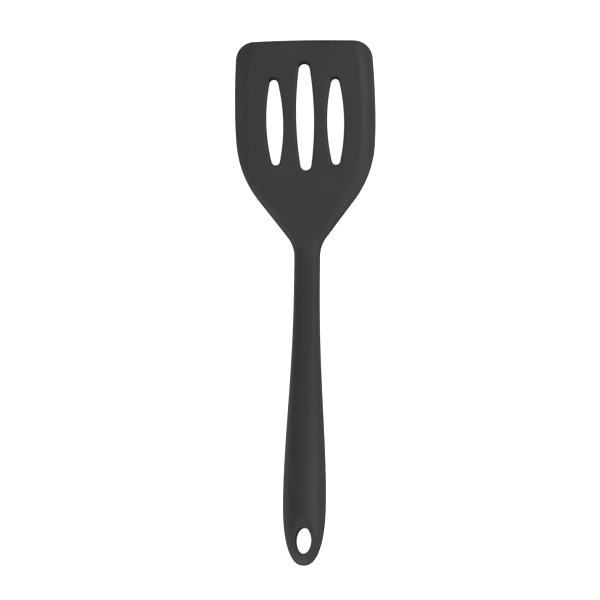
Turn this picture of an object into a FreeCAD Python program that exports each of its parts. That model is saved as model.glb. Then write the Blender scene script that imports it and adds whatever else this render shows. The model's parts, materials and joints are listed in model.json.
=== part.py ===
import FreeCAD, Part
import math
import os

# Slotted turner with a one-piece silicone skin moulded over a stiff core.
# Millimetres and degrees. +Y points from the handle's end to the blade's front
# edge, +X across, +Z up. It lies as on a table, with the blade's upper face up:
# the heel of the neck and the belly of the grip touch the floor.
#
# The object is drawn from its heel, the corner where the centre lines of the
# blade and of the handle meet. A place on it is given by
#   x  across,
#   t  along the centre line from the heel, forwards on the blade, negative
#      on the handle,
#   w  height above the centre line, square to it.

V = FreeCAD.Vector

# ---- Blade ----
blade_length = 129.4          # heel to the middle of the front edge
blade_width = 87.1            # at its widest
widest_t = 82.6               # where the blade is widest
blade_rise = 15.0             # crank: angle of the blade above the floor
front_radius = 900.0          # slight bow of the front edge
corner_radius = 11.7          # front corners
side_radius_front = 500.0     # bow of the sides, widest point to front corner
side_radius_rear = 263.0      # bow of the sides, widest point to shoulder
side_turn = 3.7               # angle the side has turned through at the shoulder
shoulder_radius = 64.0
shoulder_angle = 37.7         # angle of the tapering edge from the centre line
neck_fillet = 19.6            # concave blend from the taper into the neck
blade_under = -2.0            # w of the flat underside
lip_top = 1.0                 # w of the thin border's upper face
plateau_top = 2.0             # w of the raised middle's upper face
plateau_rear_t = 10.5         # the raised middle starts inside the neck
lip_width = 6.4               # border at the sides and shoulders
front_lip = 1.6               # border along the front edge
lip_rear_t = -2.0             # the border ends inside the neck
lip_slimmer = 1.8             # its neck end is this much narrower, to sink into the handle
lip_rounding = 0.9
plateau_corner = 7.3          # front corners of the raised middle
plateau_chamfer = 1.2

# ---- Slots ----
slot_spacing = 18.85          # between centre lines
slot_splay = 0.3              # side slots open out towards the front edge
middle_slot_t = 82.1
middle_slot_length = 65.0
middle_slot_width = 10.8
middle_slot_bow = 210.0       # radius of the long sides
side_slot_t = 79.0
side_slot_length = 52.3
side_slot_width = 10.2
side_slot_bow = 112.0
slot_rounding = 1.0           # edges of the slots

# ---- Neck and handle ----
handle_length = 194.8         # heel to the handle's end
handle_rise = 1.2             # centre line rises this much towards the grip
bend_radius = 60.0            # centre line through the crank
neck_half_width = 8.05
neck_half_height = 4.75
neck_t = -13.0                # slimmest place
grip_half_width = 13.25
grip_half_height = 7.6
grip_t = -155.5               # fullest place
width_swell = 1.25            # how late the grip's width swells from the neck
height_swell = 1.15           # the same for its height
end_power = 2.35              # squareness of the rounded end seen from above
neck_power = 2.9              # squareness of the cross-section at the neck
grip_power = 2.2              # the same at the grip
tongue_length = 50.0          # the neck fades into the blade over this length
tongue_inset = 8.0            # it ends this far inside the blade's outline
tongue_inset_start = 4.0      # where it begins to leave the outline
tongue_inset_end = 34.0
tongue_depth = 0.6            # its end is sunk this far into the blade's faces
tongue_under_end = 34.0       # the underside is flat from here forwards
tongue_places = (0.0, 5.0, 11.0, 18.0, 27.0, 37.0, 48.0)
neck_place = -6.0             # one more cross-section between neck and tongue
end_flat = 0.08               # the last cross-section lies this far inside the end
rest_depth = 0.12             # soft heel and belly press this flat where they rest

# ---- Hanging hole ----
hole_t = -179.6
hole_width = 9.5
hole_length = 15.7
dish_margin = 2.6             # the dish is this much wider than the hole all round
dish_depth = 1.6
dish_overshoot = 0.4          # the dish's cutter starts this far above the surface

# ---- Stiffener inside the silicone ----
plate_thickness = 0.8
plate_inset = 9.5             # from the blade's outline
plate_corner = 5.0
plate_rear_t = 9.5
plate_slot_margin = 2.2       # steel stands back this far from each slot
key_hole_diameter = 3.0       # silicone flows through and locks
key_hole_places = ((9.4, 44.0), (22.0, 46.0), (9.4, 116.5), (24.0, 114.0))
foot_length = 12.0            # square rear end of the plate, under the tang
foot_margin = 2.0             # the foot is this much wider than the tang each side
tang_width = 8.6
tang_thickness = 1.5
tang_front_t = 26.5
tang_rear_t = -112.0
rivet_places = (12.0, 17.5, 23.0)
rivet_shank = 2.6
rivet_head = 4.8
rivet_head_height = 0.6
core_skin = 2.3               # silicone over the nylon core
core_front_t = -14.0
core_end_skin = 4.5
core_hole_margin = 1.9
peg_places = (-45.0, -85.0, -128.0, -156.0)
peg_diameter = 3.0
peg_height = 1.9

bend_angle = blade_rise + handle_rise
bend_reach = bend_radius * math.tan(math.radians(bend_angle / 2))
slices = 24                   # points on one cross-section
grip_steps = 9                # cross-sections of the skin along the grip, and round its end
core_grip_steps = 7           # the same for the core along the grip
core_end_steps = 6            # and round its end
beyond = 20.0                 # a cutter reaches this far past anything that it cuts


def smooth(u):
    u = min(1.0, max(0.0, u))
    return u * u * (3 - 2 * u)


# ---- Frames ----

def on_blade(shape):
    """Turn a shape drawn flat (x, t, w) up into the rising blade."""
    shape.rotate(V(0, 0, 0), V(1, 0, 0), blade_rise)
    return shape


def on_handle(shape):
    """Turn a shape drawn flat (x, t, w) onto the handle's centre line."""
    shape.rotate(V(0, 0, 0), V(1, 0, 0), -handle_rise)
    return shape


def centre_line(t):
    """Point on the bent centre line and its angle above +Y, in degrees."""
    if t >= bend_reach:
        angle = blade_rise
        point = V(0, t * math.cos(math.radians(angle)), t * math.sin(math.radians(angle)))
        return point, angle
    if t <= -bend_reach:
        angle = -handle_rise
        point = V(0, t * math.cos(math.radians(angle)), t * math.sin(math.radians(angle)))
        return point, angle
    start = -handle_rise
    angle = start + bend_angle * (t + bend_reach) / (2 * bend_reach)
    centre = bend_centre()
    out = math.radians(angle)
    point = V(0, centre.y + bend_radius * math.sin(out), centre.z - bend_radius * math.cos(out))
    return point, angle


def bend_centre():
    """Centre of the crank's arc, above the heel."""
    start = math.radians(-handle_rise)
    foot = V(0, -bend_reach * math.cos(start), -bend_reach * math.sin(start))
    return V(0, foot.y - bend_radius * math.sin(start), foot.z + bend_radius * math.cos(start))


def at(x, t, w):
    """Point of the part at (x, t, w), following the crank."""
    point, angle = centre_line(t)
    lean = math.radians(angle)
    return V(x, point.y - w * math.sin(lean), point.z + w * math.cos(lean))


# ---- Flat outlines ----

def meet(c1, r1, c2, r2):
    """Point on the right where two circles cross."""
    gap = c2.sub(c1)
    d = gap.Length
    along = (r1 * r1 - r2 * r2 + d * d) / (2 * d)
    off = math.sqrt(r1 * r1 - along * along)
    axis = V(gap.x / d, gap.y / d, 0)
    side = V(-axis.y, axis.x, 0)
    first = c1.add(V(axis.x * along + side.x * off, axis.y * along + side.y * off, 0))
    second = c1.add(V(axis.x * along - side.x * off, axis.y * along - side.y * off, 0))
    return first if first.x > second.x else second


def towards(centre, other, radius):
    """Point at radius from centre on the line through other."""
    step = other.sub(centre)
    return centre.add(V(step.x / step.Length * radius, step.y / step.Length * radius, 0))


def arc_between(start, centre, end):
    """Shorter arc about centre from start to end."""
    half = V((start.x + end.x) / 2, (start.y + end.y) / 2, 0)
    middle = towards(centre, half, start.sub(centre).Length)
    return Part.Arc(start, middle, end).toShape()


def mirrored(edges):
    flipped = [e.mirror(V(0, 0, 0), V(1, 0, 0)) for e in edges]
    return edges + flipped


def blade_outline(inset, front_inset, corner, rear_t, slimmer=0.0):
    """The blade's outline drawn inset from its edge, closed by a line at rear_t.

    slimmer narrows the neck end alone, to sink it into the handle.
    """
    half = blade_width / 2 - inset
    tip = blade_length - front_inset
    front_r = front_radius - front_inset
    side_f = side_radius_front - inset
    side_r = side_radius_rear - inset
    shoulder_r = shoulder_radius - inset
    fillet_r = neck_fillet + inset
    neck_x = neck_half_width - inset - slimmer
    turn = math.radians(side_turn)
    lean = math.radians(shoulder_angle)

    front_centre = V(0, tip - front_r, 0)
    side_f_centre = V(half - side_f, widest_t, 0)
    corner_centre = meet(side_f_centre, side_f - corner, front_centre, front_r - corner)
    middle_front = V(0, tip, 0)
    corner_front = towards(front_centre, corner_centre, front_r)
    corner_side = towards(side_f_centre, corner_centre, side_f)
    widest = V(half, widest_t, 0)
    side_r_centre = V(half - side_r, widest_t, 0)
    shoulder_top = side_r_centre.add(V(side_r * math.cos(turn), -side_r * math.sin(turn), 0))
    shoulder_centre = towards(shoulder_top, side_r_centre, shoulder_r)
    shoulder_end = shoulder_centre.add(
        V(shoulder_r * math.cos(lean), -shoulder_r * math.sin(lean), 0))

    # The taper meets the neck's side at a corner, which the concave fillet rounds.
    corner_t = shoulder_end.y - (shoulder_end.x - neck_x) / math.tan(lean)
    reach = fillet_r * math.tan(lean / 2)
    fillet_top = V(neck_x + reach * math.sin(lean), corner_t + reach * math.cos(lean), 0)
    fillet_centre = V(neck_x + fillet_r, corner_t - reach, 0)
    rise = max(0.0, rear_t - fillet_centre.y)
    fillet_end = fillet_centre.add(V(-math.sqrt(fillet_r * fillet_r - rise * rise), rise, 0))
    rear = [Part.makeLine(V(fillet_end.x, rear_t, 0), V(0, rear_t, 0))]
    if rear_t < fillet_centre.y:
        rear.append(Part.makeLine(fillet_end, V(fillet_end.x, rear_t, 0)))

    right = [
        arc_between(middle_front, front_centre, corner_front),
        arc_between(corner_front, corner_centre, corner_side),
        arc_between(corner_side, side_f_centre, widest),
        arc_between(widest, side_r_centre, shoulder_top),
        arc_between(shoulder_top, shoulder_centre, shoulder_end),
        Part.makeLine(shoulder_end, fillet_top),
        arc_between(fillet_top, fillet_centre, fillet_end),
    ]
    return Part.Wire(Part.__sortEdges__(mirrored(right + rear)))


def lens(length, width, bow):
    """Slot outline: two bowed sides with rounded ends, centred on the origin."""
    half_l = length / 2
    arm = bow - width / 2
    end_r = (bow * bow - arm * arm - half_l * half_l) / (2 * (bow - half_l))
    end_centre = V(0, half_l - end_r, 0)
    bow_centre = V(-arm, 0, 0)
    top = towards(bow_centre, end_centre, bow)
    right = [
        arc_between(top, bow_centre, V(top.x, -top.y, 0)),
        arc_between(V(0, half_l, 0), end_centre, top),
        arc_between(V(top.x, -top.y, 0), V(0, -end_centre.y, 0), V(0, -half_l, 0)),
    ]
    return Part.Wire(Part.__sortEdges__(mirrored(right)))


def oval(width, length):
    ellipse = Part.Ellipse(V(0, 0, 0), length / 2, width / 2).toShape()
    ellipse.rotate(V(0, 0, 0), V(0, 0, 1), 90)
    return Part.Wire(ellipse)


def prism(wire, low, high):
    """Flat wire extruded between two heights."""
    face = Part.Face(wire)
    face.translate(V(0, 0, low))
    return face.extrude(V(0, 0, high - low))


def slot_cutters(margin, low, high):
    """The three slots as flat prisms, grown by margin all round."""
    cutters = []
    for side in (-1, 0, 1):
        if side == 0:
            wire = lens(middle_slot_length + 2 * margin, middle_slot_width + 2 * margin,
                        middle_slot_bow + margin)
            place = V(0, middle_slot_t, 0)
        else:
            wire = lens(side_slot_length + 2 * margin, side_slot_width + 2 * margin,
                        side_slot_bow + margin)
            place = V(side * slot_spacing, side_slot_t, 0)
        cutter = prism(wire, low, high)
        cutter.rotate(V(0, 0, 0), V(0, 0, 1), -side * slot_splay)
        cutter.translate(place)
        cutters.append(cutter)
    return cutters


# ---- Handle sections ----

def outline_half_width(t):
    """Half width of the blade's outline on its taper and neck fillet."""
    wire = blade_outline(0, 0, corner_radius, neck_t)
    across = Part.makeLine(V(0, t, 0), V(blade_width, t, 0))
    return wire.distToShape(across)[1][0][0].x


def handle_half_width(t):
    if t > grip_t:
        swell = ((neck_t - t) / (neck_t - grip_t)) ** width_swell if t < neck_t else 0.0
        return neck_half_width + (grip_half_width - neck_half_width) * smooth(swell)
    p = (grip_t - t) / (grip_t + handle_length)
    return grip_half_width * (1 - p ** end_power) ** (1 / end_power)


def handle_half_height(t):
    if t > grip_t:
        swell = ((neck_t - t) / (neck_t - grip_t)) ** height_swell if t < neck_t else 0.0
        return neck_half_height + (grip_half_height - neck_half_height) * smooth(swell)
    p = (grip_t - t) / (grip_t + handle_length)
    return grip_half_height * math.sqrt(1 - p * p)


def section(t, half_width, above, below, power):
    """Closed rounded cross-section square to the centre line at t."""
    points = []
    for i in range(slices):
        turn = 2 * math.pi * i / slices
        c = math.cos(turn)
        s = math.sin(turn)
        x = half_width * math.copysign(abs(c) ** (2 / power), c)
        height = above if s > 0 else below
        w = height * math.copysign(abs(s) ** (2 / power), s)
        points.append(at(x, t, w))
    curve = Part.BSplineCurve()
    curve.interpolate(Points=points, PeriodicFlag=True)
    return Part.Wire(curve.toShape())


def handle_section(t, skin):
    """Cross-section of the handle, drawn in from its surface by skin."""
    blend = smooth((neck_t - t) / (neck_t - grip_t))
    power = neck_power + (grip_power - neck_power) * blend
    height = handle_half_height(t) - skin
    return section(t, handle_half_width(t) - skin, height, height, power)


def tongue_section(t):
    """Cross-section where the neck spreads and fades into the blade."""
    draw_in = smooth((t - tongue_inset_start) / (tongue_inset_end - tongue_inset_start))
    half_width = outline_half_width(t) - tongue_inset * draw_in
    above_end = plateau_top - tongue_depth
    below_end = -blade_under - tongue_depth
    above = neck_half_height + (above_end - neck_half_height) * smooth(t / tongue_length)
    below = neck_half_height + (below_end - neck_half_height) * smooth(t / tongue_under_end)
    return section(t, half_width, above, below, neck_power)


def end_stations(first, last, count):
    """Places from first to last, closing up towards last."""
    return [first + (last - first) * math.sin(math.pi / 2 * i / count) for i in range(1, count + 1)]


def even_stations(first, last, count):
    return [first + (last - first) * i / count for i in range(count + 1)]


def handle_solid():
    """Handle, neck and tongue as one smooth skin."""
    places = end_stations(grip_t, -handle_length + end_flat, grip_steps)[::-1]
    places += even_stations(grip_t, neck_t, grip_steps)
    wires = [handle_section(t, 0) for t in places + [neck_place]]
    wires += [tongue_section(t) for t in tongue_places]
    return Part.makeLoft(wires, True, False, False, 2)


# ---- Silicone skin ----

def blade_lip():
    """Thin plate of the whole outline, its edges rounded, drawn flat."""
    wire = blade_outline(0, 0, corner_radius, lip_rear_t, lip_slimmer)
    plate = prism(wire, blade_under, lip_top)
    rims = [e for e in plate.Edges
            if e.BoundBox.ZLength < 1e-6 and e.BoundBox.YMax > lip_rear_t + 0.1]
    return plate.makeFillet(lip_rounding, rims)


def blade_plateau():
    """Raised middle of the upper face, its edge bevelled, drawn flat."""
    wire = blade_outline(lip_width, front_lip, plateau_corner, plateau_rear_t)
    body = prism(wire, (blade_under + lip_top) / 2, plateau_top)
    rims = [e for e in body.Edges
            if e.BoundBox.ZMin > plateau_top - 1e-6 and e.BoundBox.YMax > plateau_rear_t + 0.1]
    return body.makeChamfer(plateau_chamfer, rims)


def blade():
    """Silicone blade with its slots, their edges rounded."""
    body = blade_lip().fuse(blade_plateau()).removeSplitter()
    body = body.cut(slot_cutters(0, -beyond, beyond))
    slot_front = middle_slot_t + middle_slot_length / 2 + slot_rounding
    slot_rear = middle_slot_t - middle_slot_length / 2 - slot_rounding
    slot_side = slot_spacing + side_slot_width
    rims = []
    for e in body.Edges:
        box = e.BoundBox
        flat = box.ZLength < 1e-6
        inside = box.YMin > slot_rear and box.YMax < slot_front and abs(box.Center.x) < slot_side
        if flat and inside:
            rims.append(e)
    return on_blade(body.makeFillet(slot_rounding, rims))


def hanging_hole():
    """Through hole with a shallow oval dish on both faces of the handle's end."""
    cutter = prism(oval(hole_width, hole_length), -beyond, beyond)
    surface = handle_half_height(hole_t)
    for side in (-1, 1):
        rim = oval(hole_width + 2 * dish_margin, hole_length + 2 * dish_margin)
        rim.translate(V(0, 0, side * (surface + dish_overshoot)))
        floor = oval(hole_width, hole_length)
        floor.translate(V(0, 0, side * (surface - dish_depth)))
        cutter = cutter.fuse(Part.makeLoft([rim, floor], True, True))
    cutter.translate(V(0, hole_t, 0))
    return on_handle(cutter)


def floor_block(body):
    """Everything lower than the two small flats that body rests on."""
    size = 2 * (handle_length + blade_length)
    top = body.optimalBoundingBox(True, False).ZMin + rest_depth
    return Part.makeBox(size, size, beyond, V(-size / 2, -size / 2, top - beyond))


def silicone_skin():
    """The moulded skin, with the space that the stiffener fills."""
    body = blade().fuse(handle_solid()).removeSplitter()
    body = body.cut([hanging_hole(), floor_block(body)])
    return body.cut([core_body(), tang_blank(), plate_blank()] + blade_rivets().Solids)


# ---- Stiffener ----

def pin(x, t, diameter):
    """Cutter for a round hole right through, drawn flat."""
    return Part.makeCylinder(diameter / 2, 2 * beyond, V(x, t, -beyond))


def plate_blank():
    """Steel plate of the blade before its rivet holes are drilled."""
    half = plate_thickness / 2
    wire = blade_outline(plate_inset, plate_inset, plate_corner, plate_rear_t)
    plate = prism(wire, -half, half)
    foot_half = tang_width / 2 + foot_margin
    foot = Part.makeBox(2 * foot_half, foot_length, plate_thickness,
                        V(-foot_half, plate_rear_t, -half))
    plate = plate.fuse(foot).removeSplitter()
    key_holes = [pin(side * x, t, key_hole_diameter) for x, t in key_hole_places
                 for side in (-1, 1)]
    return on_blade(plate.cut(slot_cutters(plate_slot_margin, -beyond, beyond) + key_holes))


def rivet_holes():
    return [on_blade(pin(0, t, rivet_shank)) for t in rivet_places]


def tang_blank():
    """Steel strip bent to the crank, before its holes are drilled."""
    low = plate_thickness / 2
    high = low + tang_thickness
    places = (tang_rear_t, -bend_reach, 0, bend_reach, tang_front_t)
    lower = [at(0, t, low) for t in places]
    upper = [at(0, t, high) for t in places]
    edges = [
        Part.makeLine(lower[0], lower[1]),
        Part.Arc(lower[1], lower[2], lower[3]).toShape(),
        Part.makeLine(lower[3], lower[4]),
        Part.makeLine(lower[4], upper[4]),
        Part.makeLine(upper[4], upper[3]),
        Part.Arc(upper[3], upper[2], upper[1]).toShape(),
        Part.makeLine(upper[1], upper[0]),
        Part.makeLine(upper[0], lower[0]),
    ]
    profile = Part.Face(Part.Wire(edges))
    profile.translate(V(-tang_width / 2, 0, 0))
    return profile.extrude(V(tang_width, 0, 0))


def tang_bar():
    """Strip that carries the blade plate and runs into the handle."""
    peg_holes = [on_handle(pin(0, t, peg_diameter)) for t in peg_places if t > tang_rear_t]
    return tang_blank().cut(rivet_holes() + peg_holes)


def blade_rivets():
    """Three alike rivets that join the blade plate to the tang."""
    under = -plate_thickness / 2
    over = plate_thickness / 2 + tang_thickness
    rivets = []
    for t in rivet_places:
        shank = Part.makeCylinder(rivet_shank / 2, over - under, V(0, t, under))
        lower = Part.makeCylinder(rivet_head / 2, rivet_head_height,
                                  V(0, t, under - rivet_head_height))
        upper = Part.makeCylinder(rivet_head / 2, rivet_head_height, V(0, t, over))
        rivets.append(on_blade(shank.fuse([lower, upper]).removeSplitter()))
    return Part.makeCompound(rivets)


def core_body():
    """Nylon handle core before it is split into its halves."""
    last = -handle_length + core_end_skin
    places = end_stations(grip_t, last, core_end_steps)[::-1]
    places += even_stations(grip_t, core_front_t, core_grip_steps)
    wires = [handle_section(t, core_skin) for t in places]
    body = Part.makeLoft(wires, True, False)
    hole = prism(oval(hole_width + 2 * core_hole_margin, hole_length + 2 * core_hole_margin),
                 -beyond, beyond)
    hole.translate(V(0, hole_t, 0))
    return body.cut(on_handle(hole))


def handle_core_halves():
    """Upper and lower halves that close on the tang, located by pegs."""
    body = core_body()
    split = plate_thickness / 2
    size = 2 * handle_length
    above = on_handle(Part.makeBox(size, size, size, V(-size / 2, -size, split)))
    pegs = [on_handle(Part.makeCylinder(peg_diameter / 2, peg_height, V(0, t, split)))
            for t in peg_places]
    groove = on_handle(Part.makeBox(tang_width, -tang_rear_t, tang_thickness,
                                    V(-tang_width / 2, tang_rear_t, split)))
    upper = body.common(above).cut([groove] + pegs)
    lower = body.cut(above).fuse(pegs).removeSplitter()
    return upper, lower


# ---- Assembly ----

os.makedirs("parts", exist_ok=True)

core_upper, core_lower = handle_core_halves()
parts = {
    "silicone_overmould": silicone_skin(),
    "blade_plate": plate_blank().cut(rivet_holes()),
    "tang_bar": tang_bar(),
    "blade_rivets": blade_rivets(),
    "handle_core_upper": core_upper,
    "handle_core_lower": core_lower,
}

# The origin is the middle of the underside of the whole object's box.
box = parts["silicone_overmould"].optimalBoundingBox(True, False)
to_origin = V(-(box.XMin + box.XMax) / 2, -(box.YMin + box.YMax) / 2, -box.ZMin)
for name, shape in parts.items():
    shape.translate(to_origin)
    print(name, shape.ShapeType, "solids", len(shape.Solids), "valid", shape.isValid(),
          "volume", round(shape.Volume, 1))
    shape.exportStep("parts/" + name + ".step")
print("box", box.XLength, box.YLength, box.ZLength, "moved by", to_origin)
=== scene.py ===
import json
import math
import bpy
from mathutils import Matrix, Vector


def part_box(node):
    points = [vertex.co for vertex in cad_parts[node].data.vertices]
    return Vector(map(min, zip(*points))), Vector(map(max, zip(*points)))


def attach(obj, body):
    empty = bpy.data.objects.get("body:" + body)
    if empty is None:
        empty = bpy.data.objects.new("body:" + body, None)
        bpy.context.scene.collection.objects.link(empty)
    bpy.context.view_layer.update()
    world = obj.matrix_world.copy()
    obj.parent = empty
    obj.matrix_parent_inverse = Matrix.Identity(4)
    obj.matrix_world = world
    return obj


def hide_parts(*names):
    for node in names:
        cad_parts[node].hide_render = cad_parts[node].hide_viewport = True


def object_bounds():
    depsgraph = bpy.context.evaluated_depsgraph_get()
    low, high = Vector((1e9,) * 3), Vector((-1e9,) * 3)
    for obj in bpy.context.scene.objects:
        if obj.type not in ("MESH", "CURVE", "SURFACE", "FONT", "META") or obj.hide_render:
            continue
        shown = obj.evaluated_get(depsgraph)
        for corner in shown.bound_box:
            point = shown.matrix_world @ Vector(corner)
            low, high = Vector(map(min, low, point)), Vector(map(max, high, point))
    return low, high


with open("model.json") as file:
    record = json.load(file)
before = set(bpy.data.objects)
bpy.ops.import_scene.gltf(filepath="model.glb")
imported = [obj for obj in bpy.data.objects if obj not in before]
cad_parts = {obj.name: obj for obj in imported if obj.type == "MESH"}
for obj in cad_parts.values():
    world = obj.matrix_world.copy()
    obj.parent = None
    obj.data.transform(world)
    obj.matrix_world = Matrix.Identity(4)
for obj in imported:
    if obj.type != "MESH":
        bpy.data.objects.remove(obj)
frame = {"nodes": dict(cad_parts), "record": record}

from types import SimpleNamespace

import bpy
import numpy as np
from bpy.props import FloatProperty, FloatVectorProperty, PointerProperty
from mathutils import Matrix, Vector
from mathutils.geometry import delaunay_2d_cdt

bl_info = {
    "name": "Slotted Turner",
    "version": (1, 0, 0),
    "blender": (4, 5, 0),
    "location": "3D Viewport > Sidebar > Turner",
    "description": "Makes the silicone skin, the stiffener's finishes and the studio of a slotted turner",
    "category": "Object",
}

# The CAD box, kept before anything is added.
CAD_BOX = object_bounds()
SKIN = "silicone_overmould"
SKIN_LOW, SKIN_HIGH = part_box(SKIN)

# The skin is shaped in millimetres and stored in metres.
MM = 0.001
EDGE_FINE = 0.02              # between the fine points of a slot's edge
OVAL_POINTS = 4000            # round the hanging hole
NEAREST_BLOCK = 2000          # points whose nearest edge is looked for at once


# ---------------------------------------------------------------- settings

def length(name, description, millimetres):
    """A size that a user would change, given here in millimetres."""
    return FloatProperty(name=name, description=description, default=millimetres * MM,
                         min=0.0, precision=5, unit="LENGTH")


def angle(name, description, degrees):
    return FloatProperty(name=name, description=description, default=math.radians(degrees),
                         unit="ROTATION")


def factor(name, description, value, high=1.0):
    return FloatProperty(name=name, description=description, default=value, min=0.0, max=high,
                         subtype="FACTOR")


def colour(name, description, value):
    return FloatVectorProperty(name=name, description=description, default=value, size=3,
                               min=0.0, max=1.0, subtype="COLOR")


class TurnerShape(bpy.types.PropertyGroup):
    """Sizes of the silicone skin. Places along it are measured from the heel, where the
    centre lines of blade and handle meet: forwards on the blade, backwards on the handle."""

    blade_length: length("Blade length", "Heel to the middle of the front edge", 129.4)
    blade_width: length("Blade width", "Blade at its widest",
                        (SKIN_HIGH.x - SKIN_LOW.x) / MM)
    widest: length("Widest place", "Heel to the blade's widest place", 82.6)
    crank: angle("Crank", "Angle of the blade above the floor", 15.0)
    handle_rise: angle("Handle rise", "Angle of the handle's centre line", 1.2)
    bend_radius: length("Bend radius", "Centre line through the crank", 60.0)
    front_bow: length("Front bow", "Radius of the front edge", 900.0)
    corner: length("Corner radius", "Front corners", 11.7)
    side_bow_front: length("Front side bow", "Radius of the sides, widest place to corner", 500.0)
    side_bow_rear: length("Rear side bow", "Radius of the sides, widest place to shoulder", 263.0)
    side_turn: angle("Side turn", "Angle turned through where the shoulder starts", 3.7)
    shoulder: length("Shoulder radius", "Rounding from side to taper", 64.0)
    taper: angle("Taper", "Angle of the tapering edge from the centre line", 37.7)
    neck_fillet: length("Neck fillet", "Concave rounding from taper to neck", 19.6)

    lip_top: length("Border height", "Upper face of the thin border above the centre line", 1.0)
    plateau: length("Middle height", "Upper face of the raised middle", 2.0)
    under: length("Underside depth", "Flat underside below the centre line", 2.0)
    step_in: length("Step place", "Outline to the foot of the step", 5.2)
    step_run: length("Step run", "Width of the step seen from above", 2.9)
    front_taper: length("Front taper", "The blade thins over this length to its front", 13.0)
    front_thinning: length("Front thinning", "By this much", 0.8)
    lip_round: length("Border rounding", "Rounding of the outer edge", 1.1)
    slot_round: length("Slot rounding", "Rounding of the slots' edges", 1.3)
    slot_draft: length("Slot draft", "How far the slots' walls lean back", 0.25)
    slot_lead: length("Slot lead-in", "The same at the front end of each slot", 2.1)

    slot_spacing: length("Slot spacing", "Between the slots' centre lines", 18.85)
    slot_splay: angle("Slot splay", "Side slots open out towards the front edge", 0.3)
    middle_slot: length("Middle slot place", "Heel to the middle slot's centre", 82.1)
    middle_length: length("Middle slot length", "End to end", 65.0)
    middle_width: length("Middle slot width", "At its widest", 10.8)
    middle_bow: length("Middle slot bow", "Radius of its long sides", 210.0)
    side_slot: length("Side slot place", "Heel to the side slots' centres", 79.0)
    side_length: length("Side slot length", "End to end", 52.3)
    side_width: length("Side slot width", "At its widest", 10.2)
    side_bow: length("Side slot bow", "Radius of its long sides", 112.0)

    handle_length: length("Handle length", "Heel to the handle's end", 194.8)
    neck: length("Neck place", "Heel to the slimmest place", 13.0)
    neck_half: length("Neck half width", "At the slimmest place", 8.05)
    neck_rise: length("Neck half height", "At the slimmest place", 4.75)
    grip: length("Grip place", "Heel to the fullest place", 155.5)
    grip_half: length("Grip half width", "At the fullest place", 13.25)
    grip_rise: length("Grip half height", "At the fullest place", 7.6)
    tongue: length("Tongue length", "The neck fades into the blade over this length", 50.0)
    tongue_under: length("Tongue length below", "The same on the underside", 32.0)

    hole: length("Hole place", "Heel to the hanging hole's centre", 179.6)
    hole_width: length("Hole width", "Across the handle", 9.5)
    hole_length: length("Hole length", "Along the handle", 15.7)
    hole_round: length("Hole rounding", "Rounding of the hole's edges", 0.9)
    dish_width: length("Dish width", "Hollow round the hole, across", 12.6)
    dish_length: length("Dish length", "Hollow round the hole, along", 21.6)
    dish_ahead: length("Dish offset", "Its centre lies this far ahead of the hole's", 3.2)
    dish_depth: length("Dish depth", "At its deepest", 1.35)
    flash: length("Mould line", "How far the mould's parting line stands out", 0.04)


class TurnerFinish(bpy.types.PropertyGroup):
    """Colours and surface of every material."""

    silicone: colour("Silicone", "Charcoal pigment", (0.0150, 0.0150, 0.0155))
    silicone_pale: colour("Silicone bloom", "Slightly paler, dusty areas", (0.0195, 0.0195, 0.0200))
    silicone_roughness: factor("Silicone roughness", "Softness of its sheen", 0.5)
    grain: length("Grain", "Size of the moulded texture", 0.5)
    steel: colour("Spring steel", "Blade plate", (0.50, 0.50, 0.49))
    tang_steel: colour("Strip steel", "Tang", (0.40, 0.40, 0.40))
    rivet_steel: colour("Rivet steel", "Rivets", (0.56, 0.55, 0.53))
    nylon: colour("Nylon", "Glass-filled nylon core", (0.075, 0.075, 0.072))
    nylon_fibre: colour("Glass fibre", "Fibre ends in the nylon", (0.16, 0.16, 0.155))


class TurnerStudio(bpy.types.PropertyGroup):
    """Camera, floor and lights."""

    distance: length("Camera distance", "Camera to the middle of the picture", 1500.0)
    elevation: angle("Elevation", "Camera above the floor, from the handle's side", 82.0)
    sidestep: angle("Sidestep", "Camera swung to the blade's right", 6.035)
    roll: angle("Roll", "Camera turned about its own axis", 0.5562)
    aim_left: length("Aim left", "Middle of the picture to the heel's left", 4.267)
    aim_back: length("Aim back", "Middle of the picture behind the heel", 31.214)
    picture_width: length("Picture width", "Width seen at the middle of the picture", 370.9)
    key_power: FloatProperty(name="Key light", description="Softbox overhead on the right",
                             default=7.2, min=0.0, unit="POWER")
    fill_power: FloatProperty(name="Fill light", description="Wide softbox behind the handle",
                              default=10.5, min=0.0, unit="POWER")
    floor_glow: FloatProperty(name="Floor glow", description="Light table under the object",
                              default=0.92, min=0.0)
    wall_glow: FloatProperty(name="Wall glow", description="White walls all round",
                             default=1.25, min=0.01)
    ceiling_glow: FloatProperty(name="Ceiling glow", description="White room overhead",
                                default=0.47, min=0.0)
    room_lean: angle("Room lean", "Walls stand higher on the handle's side", 18.0)


def millimetres(group):
    """The group's lengths in millimetres and angles in radians."""
    sizes = SimpleNamespace()
    for prop in group.bl_rna.properties:
        if prop.type == "FLOAT" and not prop.is_array:
            value = getattr(group, prop.identifier)
            if prop.unit == "LENGTH":
                value = value / MM
            setattr(sizes, prop.identifier, value)
    return sizes


# ---------------------------------------------------------------- curves

def smooth(u):
    """Soft ramp from 0 to 1."""
    u = np.clip(u, 0.0, 1.0)
    return u * u * (3.0 - 2.0 * u)


def along_span(value, span):
    """0 at the start of span, 1 at its end, smooth between."""
    return smooth((value - span[0]) / (span[1] - span[0]))


def ramp(u, soft):
    """Straight ramp from 0 to 1 whose two corners are rounded over soft."""
    foot = (u + soft) ** 2 / (4.0 * soft)
    head = 1.0 - (1.0 + soft - u) ** 2 / (4.0 * soft)
    low = np.where(u < -soft, 0.0, np.where(u < soft, foot, u))
    return np.where(u > 1.0 + soft, 1.0, np.where(u > 1.0 - soft, head, low))


def mix(a, b, share):
    return a + (b - a) * share


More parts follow.
